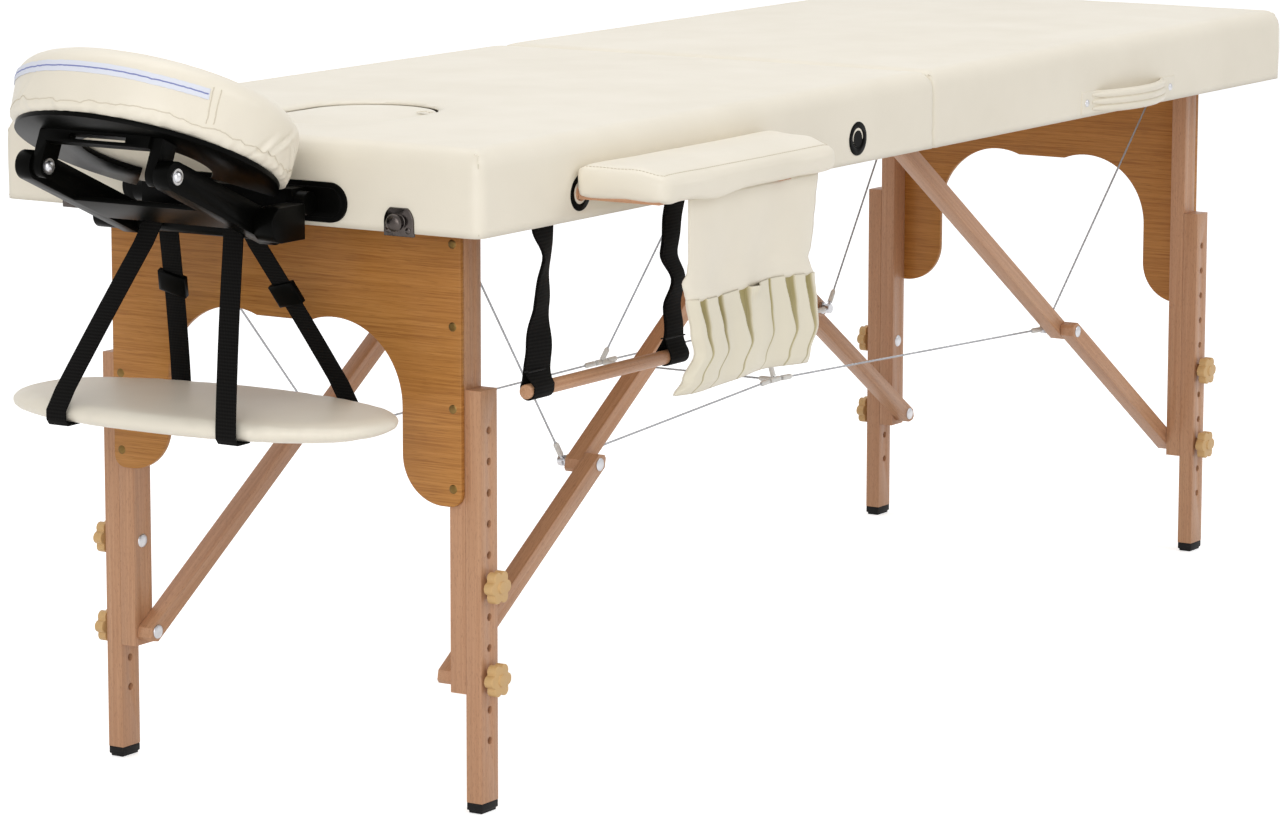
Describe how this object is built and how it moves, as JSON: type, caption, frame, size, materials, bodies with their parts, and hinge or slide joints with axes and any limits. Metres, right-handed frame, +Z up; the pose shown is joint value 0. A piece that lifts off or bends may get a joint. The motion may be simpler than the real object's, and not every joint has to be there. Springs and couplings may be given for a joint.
{
  "type": "massage_table",
  "caption": "Folding two-section massage table on braced wooden legs, with a face cradle, hanging arm shelf, side armrest, tool pocket and paper-roll holder.",
  "frame": {"origin": "centre of the whole part's footprint on the floor", "axes": "+X from the face cradle towards the foot end, +Z up, -Y the near long side with the carry handle"},
  "size_m": [2.1413, 0.7272, 0.8071],
  "materials": {
    "beech": "clear lacquered pale beech",
    "plywood": "bare birch plywood",
    "veneer": "satin oak veneer",
    "cream_vinyl": "soft grained polyurethane cover",
    "beige_plastic": "moulded beige plastic",
    "black_plastic": "moulded black plastic",
    "rubber_black": "moulded rubber",
    "webbing": "woven polyester webbing",
    "nickel": "nickel-plated steel",
    "cable_steel": "stranded steel cable with crimped sleeves"
  },
  "bodies": {
    "head_half": {"head_frame": "beech", "head_deck": "plywood", "head_upholstery": "cream_vinyl", "head_fittings": "nickel", "escutcheon": "black_plastic", "head_catches": "nickel", "head_trim": "black_plastic"},
    "center_hinge": {"hinge_pins": "nickel", "centre_cables": "cable_steel"},
    "foot_half": {"foot_frame": "beech", "foot_deck": "plywood", "foot_upholstery": "cream_vinyl", "foot_fittings": "nickel", "foot_catches": "nickel", "foot_bumpers": "rubber_black", "carry_handle": "cream_vinyl"},
    "head_leg": {"head_inner_posts": "beech", "head_panel": "veneer", "head_leg_bolts": "nickel"},
    "head_upper": {"head_upper_links": "beech", "head_knee_bolts": "nickel", "head_cables": "cable_steel"},
    "head_lower": {"head_lower_links": "beech"},
    "head_near_slide": {"head_near_post": "beech", "head_near_cap": "rubber_black"},
    "head_near_knob_low_turn": {"head_near_knob_low": "beige_plastic"},
    "head_near_knob_high_turn": {"head_near_knob_high": "beige_plastic"},
    "head_far_slide": {"head_far_post": "beech", "head_far_cap": "rubber_black"},
    "head_far_knob_low_turn": {"head_far_knob_low": "beige_plastic"},
    "head_far_knob_high_turn": {"head_far_knob_high": "beige_plastic"},
    "foot_leg": {"foot_inner_posts": "beech", "foot_panel": "veneer", "foot_leg_bolts": "nickel"},
    "foot_upper": {"foot_upper_links": "beech", "foot_knee_bolts": "nickel", "foot_cables": "cable_steel"},
    "foot_lower": {"foot_lower_links": "beech"},
    "foot_near_slide": {"foot_near_post": "beech", "foot_near_cap": "rubber_black"},
    "foot_near_knob_low_turn": {"foot_near_knob_low": "beige_plastic"},
    "foot_near_knob_high_turn": {"foot_near_knob_high": "beige_plastic"},
    "foot_far_slide": {"foot_far_post": "beech", "foot_far_cap": "rubber_black"},
    "foot_far_knob_low_turn": {"foot_far_knob_low": "beige_plastic"},
    "foot_far_knob_high_turn": {"foot_far_knob_high": "beige_plastic"},
    "cradle": {"cradle_base": "black_plastic"},
    "lever": {"cradle_lever": "black_plastic"},
    "arms": {"cradle_arms": "black_plastic"},
    "face_rest": {"cradle_plate": "black_plastic", "cradle_cushion": "cream_vinyl"},
    "arm_shelf": {"shelf_pad": "cream_vinyl", "shelf_straps": "webbing"},
    "armrest": {"armrest_frame": "beech", "armrest_pad": "cream_vinyl", "tool_pocket": "cream_vinyl"},
    "roll_hanger": {"roll_straps": "webbing"},
    "roll_bar": {"roll_dowel": "beech"},
    "plug": {"face_plug": "cream_vinyl"}
  },
  "joints": [
    {"name": "table_fold", "type": "hinge", "parent": "head_half", "child": "center_hinge", "pos_m": [0.13571, 0.05165, 0.6127], "axis": [0, 1, 0], "range_deg": [0, 90], "deforming": ["centre_cables"]},
    {"name": "table_close", "type": "hinge", "parent": "center_hinge", "child": "foot_half", "pos_m": [0.13571, 0.05165, 0.6127], "axis": [0, 1, 0], "range_deg": [0, 90], "deforming": ["roll_straps"]},
    {"name": "head_leg_fold", "type": "hinge", "parent": "head_half", "child": "head_leg", "pos_m": [-0.68929, 0.05165, 0.636], "axis": [0, -1, 0], "range_deg": [0, 90]},
    {"name": "head_upper_link_fold", "type": "hinge", "parent": "head_half", "child": "head_upper", "pos_m": [0.07571, 0.05165, 0.649], "axis": [0, 1, 0], "range_deg": [0, 33.59], "deforming": ["head_cables"]},
    {"name": "head_lower_link_fold", "type": "hinge", "parent": "head_leg", "child": "head_lower", "pos_m": [-0.68929, 0.05165, 0.141], "axis": [0, -1, 0], "range_deg": [0, 54.12]},
    {"name": "head_near_leg_slide", "type": "slide", "parent": "head_leg", "child": "head_near_slide", "axis": [0, 0, -1], "range_m": [-0.065, 0.1625]},
    {"name": "head_near_knob_low_spin", "type": "hinge", "parent": "head_near_slide", "child": "head_near_knob_low_turn", "pos_m": [-0.68929, -0.19195, 0.141], "axis": [0, -1, 0], "continuous": true},
    {"name": "head_near_knob_high_spin", "type": "hinge", "parent": "head_near_slide", "child": "head_near_knob_high_turn", "pos_m": [-0.68929, -0.19195, 0.2385], "axis": [0, -1, 0], "continuous": true},
    {"name": "head_far_leg_slide", "type": "slide", "parent": "head_leg", "child": "head_far_slide", "axis": [0, 0, -1], "range_m": [-0.065, 0.1625]},
    {"name": "head_far_knob_low_spin", "type": "hinge", "parent": "head_far_slide", "child": "head_far_knob_low_turn", "pos_m": [-0.68929, 0.29525, 0.141], "axis": [0, 1, 0], "continuous": true},
    {"name": "head_far_knob_high_spin", "type": "hinge", "parent": "head_far_slide", "child": "head_far_knob_high_turn", "pos_m": [-0.68929, 0.29525, 0.2385], "axis": [0, 1, 0], "continuous": true},
    {"name": "foot_leg_fold", "type": "hinge", "parent": "foot_half", "child": "foot_leg", "pos_m": [0.96071, 0.05165, 0.636], "axis": [0, 1, 0], "range_deg": [0, 90]},
    {"name": "foot_upper_link_fold", "type": "hinge", "parent": "foot_half", "child": "foot_upper", "pos_m": [0.19571, 0.05165, 0.649], "axis": [0, -1, 0], "range_deg": [0, 33.59], "deforming": ["foot_cables"]},
    {"name": "foot_lower_link_fold", "type": "hinge", "parent": "foot_leg", "child": "foot_lower", "pos_m": [0.96071, 0.05165, 0.141], "axis": [0, 1, 0], "range_deg": [0, 54.12]},
    {"name": "foot_near_leg_slide", "type": "slide", "parent": "foot_leg", "child": "foot_near_slide", "axis": [0, 0, -1], "range_m": [-0.065, 0.1625]},
    {"name": "foot_near_knob_low_spin", "type": "hinge", "parent": "foot_near_slide", "child": "foot_near_knob_low_turn", "pos_m": [0.96071, -0.19195, 0.141], "axis": [0, -1, 0], "continuous": true},
    {"name": "foot_near_knob_high_spin", "type": "hinge", "parent": "foot_near_slide", "child": "foot_near_knob_high_turn", "pos_m": [0.96071, -0.19195, 0.2385], "axis": [0, -1, 0], "continuous": true},
    {"name": "foot_far_leg_slide", "type": "slide", "parent": "foot_leg", "child": "foot_far_slide", "axis": [0, 0, -1], "range_m": [-0.065, 0.1625]},
    {"name": "foot_far_knob_low_spin", "type": "hinge", "parent": "foot_far_slide", "child": "foot_far_knob_low_turn", "pos_m": [0.96071, 0.29525, 0.141], "axis": [0, 1, 0], "continuous": true},
    {"name": "foot_far_knob_high_spin", "type": "hinge", "parent": "foot_far_slide", "child": "foot_far_knob_high_turn", "pos_m": [0.96071, 0.29525, 0.2385], "axis": [0, 1, 0], "continuous": true},
    {"name": "cradle_slide", "type": "slide", "parent": "head_half", "child": "cradle", "axis": [-1, 0, 0], "range_m": [0, 0.04]},
    {"name": "cradle_lever_turn", "type": "hinge", "parent": "cradle", "child": "lever", "pos_m": [-0.84929, 0.05165, 0.614], "axis": [0, 1, 0], "range_deg": [-90, 20]},
    {"name": "cradle_arm_tilt", "type": "hinge", "parent": "cradle", "child": "arms", "pos_m": [-0.84929, 0.05165, 0.614], "axis": [0, 1, 0], "range_deg": [-20, 4]},
    {"name": "face_rest_tilt", "type": "hinge", "parent": "arms", "child": "face_rest", "pos_m": [-1.01149, 0.05165, 0.68486], "axis": [0, 1, 0], "range_deg": [-25, 2]},
    {"name": "shelf_swing", "type": "hinge", "parent": "cradle", "child": "arm_shelf", "pos_m": [-0.84929, 0.05165, 0.614], "axis": [0, 1, 0], "range_deg": [-4, 20]},
    {"name": "armrest_slide", "type": "slide", "parent": "head_half", "child": "armrest", "axis": [0, -1, 0], "range_m": [0, 0.12]},
    {"name": "roll_swing", "type": "hinge", "parent": "head_half", "child": "roll_hanger", "pos_m": [-0.53929, -0.23835, 0.6107], "axis": [-1, 0, 0], "range_deg": [-8, 20]},
    {"name": "roll_spin", "type": "hinge", "parent": "roll_hanger", "child": "roll_bar", "pos_m": [-0.53929, -0.23835, 0.445], "axis": [1, 0, 0], "continuous": true},
    {"name": "plug_lift", "type": "slide", "parent": "head_half", "child": "plug", "axis": [0, 0, 1], "range_m": [0, 0.06]}
  ],
  "couplings": [
    {"joint": "head_leg_fold", "follows": "table_fold", "ratio": 1},
    {"joint": "head_upper_link_fold", "follows": "table_fold", "ratio": 0.37318},
    {"joint": "head_lower_link_fold", "follows": "table_fold", "ratio": 0.60129},
    {"joint": "foot_leg_fold", "follows": "table_fold", "ratio": 1},
    {"joint": "foot_upper_link_fold", "follows": "table_fold", "ratio": 0.37318},
    {"joint": "foot_lower_link_fold", "follows": "table_fold", "ratio": 0.60129}
  ]
}
